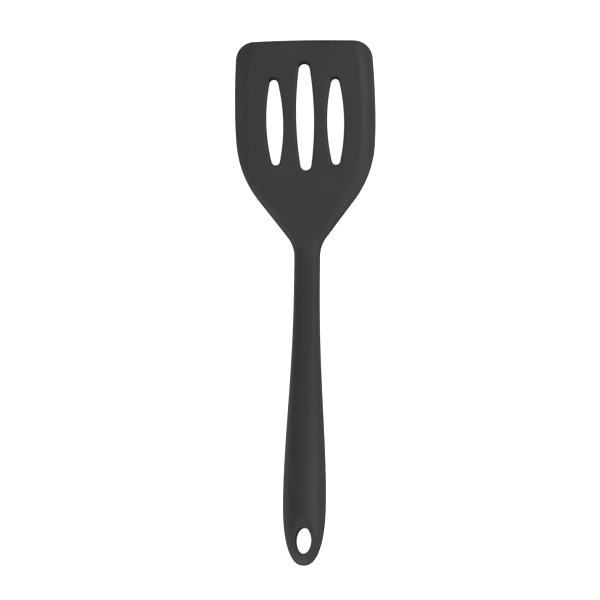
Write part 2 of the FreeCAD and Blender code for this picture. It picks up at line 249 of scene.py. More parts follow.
def arc(centre, radius, start, end, spacing):
    """Points from angle start to angle end about centre, without the last one."""
    count = max(2, int(abs(end - start) * radius / spacing))
    turns = start + (end - start) * np.arange(count) / count
    return np.stack([centre[0] + radius * np.cos(turns), centre[1] + radius * np.sin(turns)], 1)


def resample(points, spacing):
    """A closed loop of evenly spaced points, with its outward normals."""
    closed = np.vstack([points, points[:1]])
    steps = np.linalg.norm(np.diff(closed, axis=0), axis=1)
    along = np.concatenate([[0.0], np.cumsum(steps)])
    count = int(round(along[-1] / spacing))
    places = np.arange(count) * along[-1] / count
    loop = np.stack([np.interp(places, along, closed[:, k]) for k in (0, 1)], 1)
    forward = np.roll(loop, -1, 0) - np.roll(loop, 1, 0)
    forward /= np.linalg.norm(forward, axis=1)[:, None]
    normals = np.stack([forward[:, 1], -forward[:, 0]], 1)
    return loop, normals


# ---------------------------------------------------------------- outline and heights

class Outline:
    """The turner seen from above, flattened: x across, t along the centre line."""

    FINE = 0.1                    # between the outline's fine points
    END_POINTS = 1200             # round a quarter of the handle's end
    END_POWER = 2.35              # squareness of the handle's end seen from above
    WIDTH_SWELL = 1.25            # how late the grip's width swells from the neck
    HEIGHT_SWELL = 1.15           # the same for its height

    def __init__(self, s):
        self.s = s
        half = s.blade_width / 2
        reach = s.neck_fillet * math.tan(s.taper / 2)
        self.front = (0.0, s.blade_length - s.front_bow)
        self.side = (half - s.side_bow_front, s.widest)
        self.rear = (half - s.side_bow_rear, s.widest)
        self.corner = self.meeting(self.side, s.side_bow_front - s.corner,
                                   self.front, s.front_bow - s.corner)
        inner = s.side_bow_rear - s.shoulder
        self.shoulder = (self.rear[0] + inner * math.cos(s.side_turn),
                         self.rear[1] - inner * math.sin(s.side_turn))
        self.taper_start = (self.shoulder[0] + s.shoulder * math.cos(s.taper),
                            self.shoulder[1] - s.shoulder * math.sin(s.taper))
        meets_neck = self.taper_start[1] - (self.taper_start[0] - s.neck_half) / math.tan(s.taper)
        self.taper_end = (s.neck_half + reach * math.sin(s.taper),
                          meets_neck + reach * math.cos(s.taper))
        self.fillet = (s.neck_half + s.neck_fillet, meets_neck - reach)

    def handle_half(self, t):
        """Half width of the handle, and of the flare where it meets the blade."""
        s = self.s
        swell = smooth(np.clip((-s.neck - t) / (s.grip - s.neck), 0.0, 1.0) ** self.WIDTH_SWELL)
        width = mix(s.neck_half, s.grip_half, swell)
        rise = np.clip(t - self.fillet[1], 0.0, s.neck_fillet * math.sin(s.taper))
        width = width + s.neck_fillet - np.sqrt(s.neck_fillet ** 2 - rise ** 2)
        width = width + np.clip(t - self.taper_end[1], 0.0, None) * math.tan(s.taper)
        p = np.clip((-s.grip - t) / (s.handle_length - s.grip), 0.0, 1.0)
        rounded = s.grip_half * (1.0 - p ** self.END_POWER) ** (1.0 / self.END_POWER)
        return np.where(t > -s.grip, width, rounded)

    def handle_rise(self, t):
        """Half height of the handle."""
        s = self.s
        swell = smooth(np.clip((-s.neck - t) / (s.grip - s.neck), 0.0, 1.0) ** self.HEIGHT_SWELL)
        return mix(s.neck_rise, s.grip_rise, swell)

    def right_half(self):
        """Fine points down the right side, from the front edge's middle to the handle's end."""
        s = self.s
        towards_front = [a - b for a, b in zip(self.corner, self.front)]
        towards_side = [a - b for a, b in zip(self.corner, self.side)]
        front_end = math.atan2(towards_front[1], towards_front[0])
        side_start = math.atan2(towards_side[1], towards_side[0])
        count = int(math.dist(self.taper_start, self.taper_end) / self.FINE)
        shares = np.arange(count)[:, None] / count
        down = np.arange(self.fillet[1], -s.grip, -self.FINE)
        turn = np.linspace(0.0, math.pi / 2, self.END_POINTS)
        power = 2.0 / self.END_POWER
        end = np.stack([s.grip_half * np.cos(turn).clip(0.0) ** power,
                        -s.grip - (s.handle_length - s.grip) * np.sin(turn) ** power], 1)
        return np.vstack([
            arc(self.front, s.front_bow, math.pi / 2, front_end, self.FINE),
            arc(self.corner, s.corner, front_end, side_start, self.FINE),
            arc(self.side, s.side_bow_front, side_start, 0.0, self.FINE),
            arc(self.rear, s.side_bow_rear, 0.0, -s.side_turn, self.FINE),
            arc(self.shoulder, s.shoulder, -s.side_turn, -s.taper, self.FINE),
            mix(np.array(self.taper_start), np.array(self.taper_end), shares),
            arc(self.fillet, s.neck_fillet, math.pi - s.taper, math.pi, self.FINE),
            np.stack([self.handle_half(down), down], 1),
            end,
        ])

    @staticmethod
    def meeting(c1, r1, c2, r2):
        """The right-hand crossing of two circles."""
        gap = math.dist(c1, c2)
        along = (r1 * r1 - r2 * r2 + gap * gap) / (2 * gap)
        off = math.sqrt(r1 * r1 - along * along)
        ax, ay = (c2[0] - c1[0]) / gap, (c2[1] - c1[1]) / gap
        crossings = [(c1[0] + ax * along - k * ay * off, c1[1] + ay * along + k * ax * off)
                     for k in (-1, 1)]
        return max(crossings)

    def loop(self, spacing):
        """Evenly spaced points round the whole outline, counter-clockwise, with normals."""
        right = self.right_half()
        left = right[1:-1] * (-1.0, 1.0)
        whole = np.vstack([left, right[::-1]])
        return resample(whole, spacing)


class Surface:
    """Heights of the skin's upper and lower faces above the bent centre line."""

    HANDLE_ENDS = 1.0             # ahead of the heel, where the handle's shape starts to fade
    HANDLE_FADE = 17.0            # and over this length
    NECK_POWER = 3.1              # squareness of the handle's cross-section at the neck
    GRIP_POWER = 2.2              # the same at the grip
    LIP_SLOPE = 0.075             # the border's fall outwards
    STEP_SOFTNESS = 0.4           # of the step from border to raised middle
    SHOULDER_DROP = 0.6           # the shoulders fall this far below the border's height
    NECK_BAND = 3.4               # width of the rounding beside the neck
    UNDER_BAND = 7.0              # width of the underside's rounding beside the shoulders
    BAND_GROWS = 40.0             # both grow to their full width over this length
    RIM = 0.8                     # the underside's rounding starts this far in
    RIM_SOFTNESS = 0.2
    FRONT_CURVE = 1.3             # how late the blade thins towards its front edge
    FRONT_FACING = (40.0, 82.0)   # the outline turns from side to front edge
    SHOULDER_FACING = (5.0, 29.0)     # and from side to shoulder
    SHOULDER_ENDS = (38.0, 50.0)      # the shoulders lie behind this place
    FRONT_LIFT = 0.25             # the underside lifts this much at the front edge
    FRONT_LIFT_RUN = (0.4, 4.4)   # between these distances behind it
    FRONT_LIFT_SOFTNESS = 0.3
    DISH_POWER = 1.1              # fullness of the dish's hollow
    JUST_AHEAD = 0.001            # keeps clear of the seam at the grip's fullest place

    def __init__(self, s, outline):
        self.s = s
        self.outline = outline
        self.lip_middle = (s.lip_top - s.under) / 2

    def handle_share(self, t):
        """1 on the handle, 0 on the blade."""
        return 1.0 - smooth((t - self.HANDLE_ENDS) / self.HANDLE_FADE)

    def equator(self, t):
        """Height of the outline itself, where the mould parts."""
        return mix(self.lip_middle, 0.0, self.handle_share(t))

    def ring(self, x, t):
        """How far out a point of the handle is: 0 on the middle line, 1 on the outline."""
        s = self.s
        power = self.outline.END_POWER
        inside = np.maximum(t, -s.grip + self.JUST_AHEAD)
        across = np.abs(x) / self.outline.handle_half(inside)
        p = np.clip((-s.grip - t) / (s.handle_length - s.grip), 0.0, 1.0)
        return (across ** power + p ** power) ** (1.0 / power)

    def handle(self, x, t):
        """Half height of the handle at a point."""
        s = self.s
        blend = smooth((-s.neck - t) / (s.grip - s.neck))
        power = mix(self.NECK_POWER, self.GRIP_POWER, blend)
        rim = np.clip(self.ring(x, t), 0.0, 1.0)
        return self.outline.handle_rise(t) * (1.0 - rim ** power) ** (1.0 / power)

    def shoulder_share(self, t, facing):
        """1 where the border is a shoulder, which slopes without a step."""
        first, last = self.SHOULDER_ENDS
        return np.maximum(along_span(-facing, self.SHOULDER_FACING),
                          smooth((last - t) / (last - first)))

    def rounding(self, d):
        """Rounded outer edge: 0 on the outline, 1 where the rounding ends."""
        return np.sqrt(1.0 - (1.0 - np.clip(d / self.s.lip_round, 0.0, 1.0)) ** 2)

    def upper(self, x, t, d, facing):
        """Upper face. d is the distance in from the outline, facing the angle that the
        nearest stretch of outline faces, from 0 at the sides to 90 degrees at the front."""
        s = self.s
        middle = mix(s.neck_rise, s.plateau, smooth(t / s.tongue))
        ahead = (t - s.blade_length + s.front_taper) / s.front_taper
        middle = middle - s.front_thinning * np.clip(ahead, 0.0, None) ** self.FRONT_CURVE
        lip = s.lip_top + self.LIP_SLOPE * (np.clip(d, 0.0, s.step_in) - s.step_in / 2)
        step = mix(lip, middle, ramp((d - s.step_in) / s.step_run, self.STEP_SOFTNESS))
        band = mix(self.NECK_BAND, s.step_in + s.step_run, smooth(t / self.BAND_GROWS))
        inward = 1.0 - np.clip(1.0 - d / band, 0.0, 1.0) ** 2
        slope = mix(s.lip_top - self.SHOULDER_DROP, middle, inward)
        border = mix(step, slope, self.shoulder_share(t, facing))
        border = mix(border, middle, along_span(facing, self.FRONT_FACING))
        blade = mix(self.lip_middle, border, self.rounding(d))
        return mix(blade, self.handle(x, t), self.handle_share(t)) - self.dish(x, t)

    def lower(self, x, t, d, facing):
        """Lower face, as the upper one."""
        s = self.s
        middle = mix(s.neck_rise, s.under, smooth(t / s.tongue_under))
        band = mix(self.NECK_BAND, self.UNDER_BAND, smooth(t / self.BAND_GROWS))
        inward = ramp((d - self.RIM) / (band - self.RIM), self.RIM_SOFTNESS)
        depth = mix(s.under, middle, inward)
        first, last = self.FRONT_LIFT_RUN
        behind = ramp((d - first) / (last - first), self.FRONT_LIFT_SOFTNESS)
        lift = self.FRONT_LIFT * along_span(facing, self.FRONT_FACING)
        depth = depth - lift * (1.0 - behind)
        blade = mix(self.lip_middle, -depth, self.rounding(d))
        return mix(blade, -self.handle(x, t), self.handle_share(t)) + self.dish(x, t)

    def dish(self, x, t):
        """Hollow round the hanging hole."""
        s = self.s
        ahead = t + s.hole - s.dish_ahead
        rim = (2 * x / s.dish_width) ** 2 + (2 * ahead / s.dish_length) ** 2
        return s.dish_depth * np.clip(1.0 - rim, 0.0, None) ** self.DISH_POWER

    def bend(self, x, t, w):
        """Points of the part for flattened places, in millimetres from the heel."""
        s = self.s
        turn = s.crank + s.handle_rise
        reach = s.bend_radius * math.tan(turn / 2)
        start = -s.handle_rise
        foot_y = -reach * math.cos(start)
        foot_z = -reach * math.sin(start)
        centre_y = foot_y - s.bend_radius * math.sin(start)
        centre_z = foot_z + s.bend_radius * math.cos(start)
        lean = start + turn * np.clip((t + reach) / (2 * reach), 0.0, 1.0)
        in_bend = np.abs(t) < reach
        y = np.where(in_bend, centre_y + s.bend_radius * np.sin(lean), t * np.cos(lean))
        z = np.where(in_bend, centre_z - s.bend_radius * np.cos(lean), t * np.sin(lean))
        return np.stack([x, y - w * np.sin(lean), z + w * np.cos(lean)], 1)


def lens(long, width, bow, spacing):
    """Slot outline with bowed sides and rounded ends, counter-clockwise, with normals."""
    half = long / 2
    arm = bow - width / 2
    end = (bow * bow - arm * arm - half * half) / (2 * (bow - half))
    top = half - end
    lean = math.atan2(top, arm)
    points = np.vstack([
        arc((-arm, 0.0), bow, -lean, lean, EDGE_FINE),
        arc((0.0, top), end, lean, math.pi - lean, EDGE_FINE),
        arc((arm, 0.0), bow, math.pi - lean, math.pi + lean, EDGE_FINE),
        arc((0.0, -top), end, math.pi + lean, 2 * math.pi - lean, EDGE_FINE),
    ])
    return resample(points, spacing)


def oval(width, long, spacing):
    """The hanging hole's outline, counter-clockwise, with normals."""
    turns = np.linspace(0.0, 2 * math.pi, OVAL_POINTS, endpoint=False)
    points = np.stack([width / 2 * np.cos(turns), long / 2 * np.sin(turns)], 1)
    return resample(points, spacing)


# ---------------------------------------------------------------- skin mesh

class Opening:
    """A slot or hole: its closed edge, the way out into the skin, and for each of its
    points the rounding's radius, the upper wall's draft and the height of the parting."""

    MARGIN = 1.0                  # from the rounding to the opening's outermost ring

    def __init__(self, edge, out, radius, draft, parting):
        self.edge = edge
        self.out = out
        self.radius = radius
        self.draft = draft
        self.parting = parting
        self.reach = draft + radius + self.MARGIN

    def ring(self, distance):
        """Points at a distance out from each point of the edge."""
        return self.edge + self.out * distance[:, None]


class SkinMesh:
    """Builds the skin from rings that follow every edge, and a fine net between them."""

    SPACING = 0.9                 # along the outline
    HOLE_SPACING = 0.45           # along slots and hanging hole
    NET = 1.25                    # between the net's points
    NET_CLEAR = 0.55              # share of that by which the net keeps off the rings
    DRAFT = 0.05                  # walls that stand nearly square to the faces
    ROUND_STEP = 15               # degrees between the rings of a rounded edge
    ROUND_SHARE = 0.8             # a rounding takes up no more than this of a wall's height
    WELD = 1e-4                   # points closer than this are one
    LEAD_FACING = (0.35, 0.95)    # how far forwards an edge faces where the lead-in sets in
    LEAD_ROUND = 0.35             # rounding of the slots' edges there
    LEAD_DEPTH = 1.5              # and how far down the lead-in reaches below the centre line
    RINGS = (0.0, 0.03, 0.1, 0.22, 0.4, 0.62, 0.9, 1.3, 1.8, 2.4, 3.1, 3.8, 4.5, 5.1, 5.5,
             5.75, 6.0, 6.3, 6.6, 6.9, 7.2, 7.45, 7.75, 8.2, 8.8)     # in from the outline
    # The rings keep this share of their depth round the handle's end and along the handle,
    # and all of it on the blade. The shares change between the places that follow.
    END_REACH = 0.3
    HANDLE_REACH = 0.6
    END_TO_HANDLE = (-170.0, -152.0)
    HANDLE_TO_BLADE = (3.0, 18.0)

    def __init__(self, s):
        self.s = s
        self.outline = Outline(s)
        self.surface = Surface(s, self.outline)
        self.points = []
        self.count = 0
        self.faces = []

    def add(self, x, t, w):
        """Adds points and returns their numbers."""
        block = np.stack([x, t, w], 1)
        self.points.append(block)
        indices = np.arange(self.count, self.count + len(block))
        self.count += len(block)
        return indices

    def strip(self, outer, inner, upward):
        """Quads between two rings that run counter-clockwise."""
        quads = np.stack([outer, np.roll(outer, -1), np.roll(inner, -1), inner], 1)
        if not upward:
            quads = quads[:, ::-1]
        self.faces.extend(quads.tolist())

    def ring_reach(self, t):
        """Share of their full depth that the rings have, less where the skin is narrow."""
        handle = mix(self.END_REACH, self.HANDLE_REACH, along_span(t, self.END_TO_HANDLE))
        return mix(handle, 1.0, along_span(t, self.HANDLE_TO_BLADE))

    def openings(self):
        """The three slots and the hanging hole, in place."""
        s = self.s
        found = []
        for side in (-1, 0, 1):
            if side == 0:
                loop, normals = lens(s.middle_length, s.middle_width, s.middle_bow,
                                     self.HOLE_SPACING)
                place = (0.0, s.middle_slot)
            else:
                loop, normals = lens(s.side_length, s.side_width, s.side_bow, self.HOLE_SPACING)
                place = (side * s.slot_spacing, s.side_slot)
            cosine = math.cos(-side * s.slot_splay)
            sine = math.sin(-side * s.slot_splay)
            turn = np.array([[cosine, sine], [-sine, cosine]])
            out = normals @ turn
            front = along_span(out[:, 1], self.LEAD_FACING)
            found.append(Opening(loop @ turn + place, out,
                                 mix(s.slot_round, self.LEAD_ROUND, front),
                                 mix(s.slot_draft, s.slot_lead, front),
                                 -self.LEAD_DEPTH * front))
        loop, normals = oval(s.hole_width, s.hole_length, self.HOLE_SPACING)
        level = np.zeros(len(loop))
        found.append(Opening(loop + (0.0, -s.hole), normals, level + s.hole_round,
                             level + self.DRAFT, level))
        return found

    def net_points(self, keep_out):
        """A regular net of points that keeps clear of every ring."""
        s = self.s
        row = self.NET * math.sqrt(0.75)          # the height of an even-sided triangle
        ts = np.arange(-s.handle_length, s.blade_length, row)
        xs = np.arange(-s.blade_width / 2, s.blade_width / 2, self.NET)
        grid_t, grid_x = np.meshgrid(ts, xs, indexing="ij")
        grid_x = grid_x + (np.arange(len(ts)) % 2)[:, None] * self.NET / 2
        net = np.stack([grid_x.ravel(), grid_t.ravel()], 1)
        for loop, inside in keep_out:
            wanted = inside_loop(net, loop) == inside
            net = net[wanted]
            gap, _ = nearest_on(net, loop)
            net = net[gap > self.NET * self.NET_CLEAR]
        return net

    def build(self):
        """Points of the skin in millimetres from the heel, and its faces."""
        s = self.s
        loop, normals = self.outline.loop(self.SPACING)
        reach = self.ring_reach(loop[:, 1])
        facing = np.degrees(np.arctan2(normals[:, 1], np.abs(normals[:, 0])))
        openings = self.openings()

        rim = loop + normals * s.flash
        equator = self.add(rim[:, 0], rim[:, 1], self.surface.equator(loop[:, 1]))
        hole_rims = [self.add(o.edge[:, 0], o.edge[:, 1], o.parting) for o in openings]

        inner_loop = loop - normals * (self.RINGS[-1] * reach)[:, None]
        keep_out = [(inner_loop, True)]
        keep_out += [(o.ring(o.reach), False) for o in openings]
        net = self.net_points(keep_out)
        flat = np.vstack([ring for ring, _ in keep_out] + [net])
        triangles = self.triangulate(flat, keep_out)
        net_gap, net_nearest = nearest_on(net, loop)

        for upward in (True, False):
            height = self.surface.upper if upward else self.surface.lower
            last = equator
            for depth in self.RINGS[1:]:
                d = depth * reach
                at = loop - normals * d[:, None]
                ring = self.add(at[:, 0], at[:, 1], height(at[:, 0], at[:, 1], d, facing))
                self.strip(last, ring, upward)
                last = ring
            rings = [last]
            for opening, rim_ring in zip(openings, hole_rims):
                rings.append(self.opening_wall(opening, rim_ring, upward, loop, facing))
            rings.append(self.add(net[:, 0], net[:, 1],
                                  height(net[:, 0], net[:, 1], net_gap, facing[net_nearest])))
            numbers = np.concatenate(rings)[triangles]
            self.faces.extend((numbers if upward else numbers[:, ::-1]).tolist())

        return self.surface.bend(*np.vstack(self.points).T), self.faces

    def opening_wall(self, opening, rim_ring, upward, loop, facing):
        """Wall and rounded edge of one opening on one face; returns its outermost ring."""
        height = self.surface.upper if upward else self.surface.lower
        gap, nearest = nearest_on(opening.edge, loop)
        face = height(opening.edge[:, 0], opening.edge[:, 1], gap, facing[nearest])
        radius = np.minimum(opening.radius, self.ROUND_SHARE * np.abs(face - opening.parting))
        draft = opening.draft if upward else self.DRAFT
        turns = np.radians(np.arange(0, 90 + self.ROUND_STEP, self.ROUND_STEP))
        steps = [(draft + radius * (1 - math.cos(a)), radius * (1 - math.sin(a))) for a in turns]
        steps.append(((draft + radius + opening.reach) / 2, 0.0))
        steps.append((opening.reach, 0.0))
        last = rim_ring
        for distance, drop in steps:
            at = opening.ring(distance)
            gap, nearest = nearest_on(at, loop)
            w = height(at[:, 0], at[:, 1], gap, facing[nearest])
            w = w - drop if upward else w + drop
            ring = self.add(at[:, 0], at[:, 1], w)
            self.strip(ring, last, upward)
            last = ring
        return last

    def triangulate(self, flat, keep_out):
        """Triangles between the innermost rings, all counter-clockwise."""
        edges = []
        start = 0
        for ring, _ in keep_out:
            n = len(ring)
            edges += [(start + k, start + (k + 1) % n) for k in range(n)]
            start += n
        result = delaunay_2d_cdt([Vector(p) for p in flat], edges, [], 0, self.WELD, True)
        where = {}
        for new, originals in enumerate(result[3]):
            for old in originals:
                where[new] = old
        tris = np.array([[where[v] for v in face] for face in result[2]])
        a, b, c = flat[tris[:, 0]], flat[tris[:, 1]], flat[tris[:, 2]]
        middle = (a + b + c) / 3
        wanted = np.ones(len(tris), bool)
        for ring, inside in keep_out:
            wanted &= inside_loop(middle, ring) == inside
        along = b - a
        aside = c - a
        clockwise = along[:, 0] * aside[:, 1] < along[:, 1] * aside[:, 0]
        tris[clockwise] = tris[clockwise][:, ::-1]
        return tris[wanted]


def inside_loop(points, loop):
    """Whether each point lies inside a closed loop."""
    inside = np.zeros(len(points), bool)
    following = np.roll(loop, -1, 0)
    for (x0, y0), (x1, y1) in zip(loop, following):
        crosses = (y0 > points[:, 1]) != (y1 > points[:, 1])
        if crosses.any():
            at = x0 + (points[crosses, 1] - y0) * (x1 - x0) / (y1 - y0)
            inside[crosses] ^= points[crosses, 0] < at
    return inside


def nearest_on(points, loop):
    """Distance from each point to a closed loop, and the nearest loop point's number."""
    gaps = np.empty(len(points))
    numbers = np.empty(len(points), int)
    ahead = np.roll(loop, -1, 0) - loop
    lengths = (ahead ** 2).sum(1)
    for first in range(0, len(points), NEAREST_BLOCK):
        block = points[first:first + NEAREST_BLOCK]
        offset = block[:, None, :] - loop[None, :, :]
        share = np.clip((offset * ahead).sum(2) / lengths, 0.0, 1.0)
        gap = np.linalg.norm(offset - share[:, :, None] * ahead, axis=2)
        best = gap.argmin(1)
        gaps[first:first + NEAREST_BLOCK] = gap[np.arange(len(block)), best]
        numbers[first:first + NEAREST_BLOCK] = best
    return gaps, numbers


def heel_place():
    """Where the heel stands in the part's frame, in metres, worked back from the hanging hole."""
    s = millimetres(bpy.context.scene.turner_shape)
    hole = next(m for m in frame["record"]["mounts"] if m["name"] == "hanging_hole")
    back = Vector((0.0, s.hole * math.cos(s.handle_rise), -s.hole * math.sin(s.handle_rise)))
    return Vector(hole["pos_m"]) + back * MM


def mesh_piece(name, points, faces, material):
    """A smooth-shaded object from points in metres."""
    mesh = bpy.data.meshes.new(name)
    mesh.from_pydata(points.tolist(), [], faces)
    mesh.polygons.foreach_set("use_smooth", np.ones(len(mesh.polygons), bool))
    mesh.materials.append(material)
    mesh.update()
    piece = bpy.data.objects.new(name, mesh)
    bpy.context.scene.collection.objects.link(piece)
    return piece


# ---------------------------------------------------------------- material nodes

class Value:
    """A node's output that can be reckoned with."""

    def __init__(self, finish, socket):
        self.finish = finish
        self.socket = socket

    def _maths(self, operation, first, second):
        return self.finish.node("ShaderNodeMath", {"operation": operation},
                                {0: first, 1: second}, 0)

    def __add__(self, other):
        return self._maths("ADD", self, other)

    __radd__ = __add__

    def __sub__(self, other):
        return self._maths("SUBTRACT", self, other)

    def __rsub__(self, other):
        return self._maths("SUBTRACT", other, self)

    def __mul__(self, other):
        return self._maths("MULTIPLY", self, other)

    __rmul__ = __mul__

    def stretched(self, amounts):
        """A vector with each part multiplied."""
        return self.finish.node("ShaderNodeVectorMath", {"operation": "MULTIPLY"},
                                {0: self, 1: amounts}, 0)


class Finish:
    """A material whose nodes are being laid out."""

    def __init__(self, name):
        self.material = bpy.data.materials.new(name)
        self.material.use_nodes = True
        self.tree = self.material.node_tree
        self.tree.nodes.clear()
        self.place = self.node("ShaderNodeTexCoord", {}, {}, "Object")

    @staticmethod
    def _socket(sockets, key):
        if isinstance(key, int):
            return sockets[key]
        return next(s for s in sockets if key in (s.identifier, s.name))

    def node(self, kind, settings, inputs, output):
        """Adds any node: its settings first, then values or links of its sockets."""
        node = self.tree.nodes.new(kind)
        for setting, value in settings.items():
            setattr(node, setting, value)
        for key, value in inputs.items():
            socket = self._socket(node.inputs, key)
            if isinstance(value, Value):
                self.tree.links.new(value.socket, socket)
            else:
                socket.default_value = value
        return Value(self, self._socket(node.outputs, output)) if output is not None else node

    def noise(self, size, detail=2.0, place=None, rough=0.5):
        """Soft random blotches about size across, in metres, between 0 and 1."""
        inputs = {"Vector": place or self.place, "Scale": 1.0 / size, "Detail": detail,
                  "Roughness": rough}
        return self.node("ShaderNodeTexNoise", {}, inputs, 0)

    def blend(self, a, b, share):
        """From colour a to colour b."""
        inputs = {"Factor_Float": share, "A_Color": rgba(a), "B_Color": rgba(b)}
        return self.node("ShaderNodeMix", {"data_type": "RGBA"}, inputs, "Result_Color")

    def spread(self, value, low, high):
        """value stretched so that low becomes 0 and high becomes 1, softly."""
        inputs = {"Value": value, "From Min": low, "From Max": high}
        settings = {"interpolation_type": "SMOOTHSTEP"}
        return self.node("ShaderNodeMapRange", settings, inputs, "Result")

    def bump(self, height, depth):
        """Normals for a surface whose height varies by depth, in metres."""
        return self.node("ShaderNodeBump", {}, {"Height": height, "Distance": depth}, "Normal")

    def surface(self, **inputs):
        """Closes the material with one Principled shader and returns it."""
        named = {key.replace("_", " "): value for key, value in inputs.items()}
        shader = self.node("ShaderNodeBsdfPrincipled", {}, named, "BSDF")
        self.node("ShaderNodeOutputMaterial", {}, {"Surface": shader}, None)
        return self.material


def rgba(value):
    """A colour with its opacity; a node's output goes through as it is."""
    return value if isinstance(value, Value) else (*value, 1.0)


def darker(tint, share):
    return tuple(part * share for part in tint)


# ---------------------------------------------------------------- finishes

def silicone():
    """Charcoal silicone from a blasted mould: even, dull, with a trace of dusty bloom."""
    look = bpy.context.scene.turner_finish
    f = Finish("silicone_charcoal")
    bloom = f.spread(f.noise(size=0.022, detail=3.0), low=0.35, high=0.7)
    specks = f.spread(f.noise(size=0.0011, detail=2.0), low=0.62, high=0.75)
    tone = f.blend(look.silicone, look.silicone_pale, bloom * 0.7 + specks * 0.3)
    grain = f.noise(size=look.grain, detail=3.0, rough=0.6)
    waves = f.noise(size=0.007, detail=1.0)
    roughness = look.silicone_roughness - 0.05 + grain * 0.06 + bloom * 0.04
    relief = grain * 0.45 + waves * 0.55
    return f.surface(Base_Color=tone, Roughness=roughness, IOR=1.41,
                     Normal=f.bump(relief, depth=0.00003))


def rolled_steel(name, tint, along):
    """Sheet steel with fine rolling lines; along is the factor that draws them out."""
    f = Finish(name)
    drawn_out = f.place.stretched((1.0, along, 1.0))
    lines = f.noise(size=0.0004, detail=4.0, place=drawn_out, rough=0.65)
    cloud = f.noise(size=0.02, detail=2.0)
    tone = f.blend(darker(tint, 0.72), tint, lines * 0.7 + cloud * 0.3)
    return f.surface(Base_Color=tone, Metallic=1.0, Roughness=0.24 + lines * 0.16 + cloud * 0.05,
                     Normal=f.bump(lines, depth=0.000006))


def set_steel(name, tint):
    """Rivet steel, satin from tumbling, with small hammer dents."""
    f = Finish(name)
    dents = f.spread(f.noise(size=0.0009, detail=2.0), low=0.3, high=0.7)
    grain = f.noise(size=0.00025, detail=3.0)
    tone = f.blend(darker(tint, 0.7), tint, dents)
    return f.surface(Base_Color=tone, Metallic=1.0, Roughness=0.42 - dents * 0.14 + grain * 0.08,
                     Normal=f.bump(dents * 0.8 + grain * 0.2, depth=0.00002))


def glass_filled_nylon():
    """Dull nylon with short glass fibres drawn out along the flow."""
    look = bpy.context.scene.turner_finish
    f = Finish("nylon_glass_filled")
    drawn_out = f.place.stretched((1.0, 0.16, 1.0))
    strands = f.noise(size=0.0005, detail=3.0, place=drawn_out, rough=0.6)
    fibres = f.spread(strands, low=0.56, high=0.66)
    flow = f.noise(size=0.012, detail=2.0, place=f.place.stretched((1.0, 0.4, 1.0)))
    tone = f.blend(look.nylon, look.nylon_fibre, fibres * 0.6 + flow * 0.25)
    return f.surface(Base_Color=tone, Roughness=0.5 + flow * 0.12 + fibres * 0.08, IOR=1.53,
                     Normal=f.bump(strands, depth=0.00002))


def refinish(node_name, material):
    """Gives a CAD node its finish."""
    node = frame["nodes"][node_name]
    if not node.material_slots:
        node.data.materials.append(material)
    for slot in node.material_slots:
        slot.material = material


# ---------------------------------------------------------------- studio

def aim(thing, eye, target, up=Vector((0.0, 0.0, 1.0))):
    """Stands thing at eye, looking at target."""
    back = (eye - target).normalized()
    right = up.cross(back).normalized()
    turning = Matrix((right, back.cross(right), back)).transposed()
    thing.matrix_world = Matrix.Translation(eye) @ turning.to_4x4()


def softbox(name, eye, target, size, power):
    """A rectangular light that stands at eye and faces the target."""
    light = bpy.data.lights.new(name, "AREA")
    light.shape = "RECTANGLE"
    light.size, light.size_y = size
    light.energy = power
    box = bpy.data.objects.new(name, light)
    bpy.context.scene.collection.objects.link(box)
    aim(box, Vector(eye), Vector(target))


def floor_material(glow):
    """Nearly white and glowing, so that it shows little shadow."""
    f = Finish("light_table")
    cloud = f.noise(size=0.6, detail=2.0)
    tone = f.blend((0.78, 0.78, 0.78), (0.80, 0.80, 0.80), cloud)
    return f.surface(Base_Color=tone, Roughness=0.9, Emission_Color=(1.0, 1.0, 1.0, 1.0),
                     Emission_Strength=glow)


# ---------------------------------------------------------------- operators

class TURNER_OT_skin(bpy.types.Operator):
    """Make the silicone skin over the stiffener"""

    bl_idname = "turner.skin"
    bl_label = "Silicone skin"

    def execute(self, context):
        points, faces = SkinMesh(millimetres(context.scene.turner_shape)).build()
        placed = points * MM + np.array(heel_place())
        # The soft heel and belly press flat where they rest.
        placed[:, 2] = np.maximum(placed[:, 2], SKIN_LOW.z)
        skin = mesh_piece("silicone_skin", placed, faces, silicone())
        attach(skin, "root")
        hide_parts(SKIN)
        return {"FINISHED"}


class TURNER_OT_steel(bpy.types.Operator):
    """Finish the spring plate, the tang and the rivets inside the skin"""

    bl_idname = "turner.steel"
    bl_label = "Steel stiffener"

    def execute(self, context):
        look = context.scene.turner_finish
        refinish("blade_plate", rolled_steel("steel_spring_plate", tuple(look.steel), along=0.02))
        refinish("tang_bar", rolled_steel("steel_strip", tuple(look.tang_steel), along=0.035))
        refinish("blade_rivets", set_steel("steel_rivets", tuple(look.rivet_steel)))
        return {"FINISHED"}


class TURNER_OT_core(bpy.types.Operator):
    """Finish the two nylon halves of the handle's core"""

    bl_idname = "turner.core"
    bl_label = "Nylon core"

    def execute(self, context):
        nylon = glass_filled_nylon()
        for node_name in ("handle_core_upper", "handle_core_lower"):
            refinish(node_name, nylon)
        return {"FINISHED"}


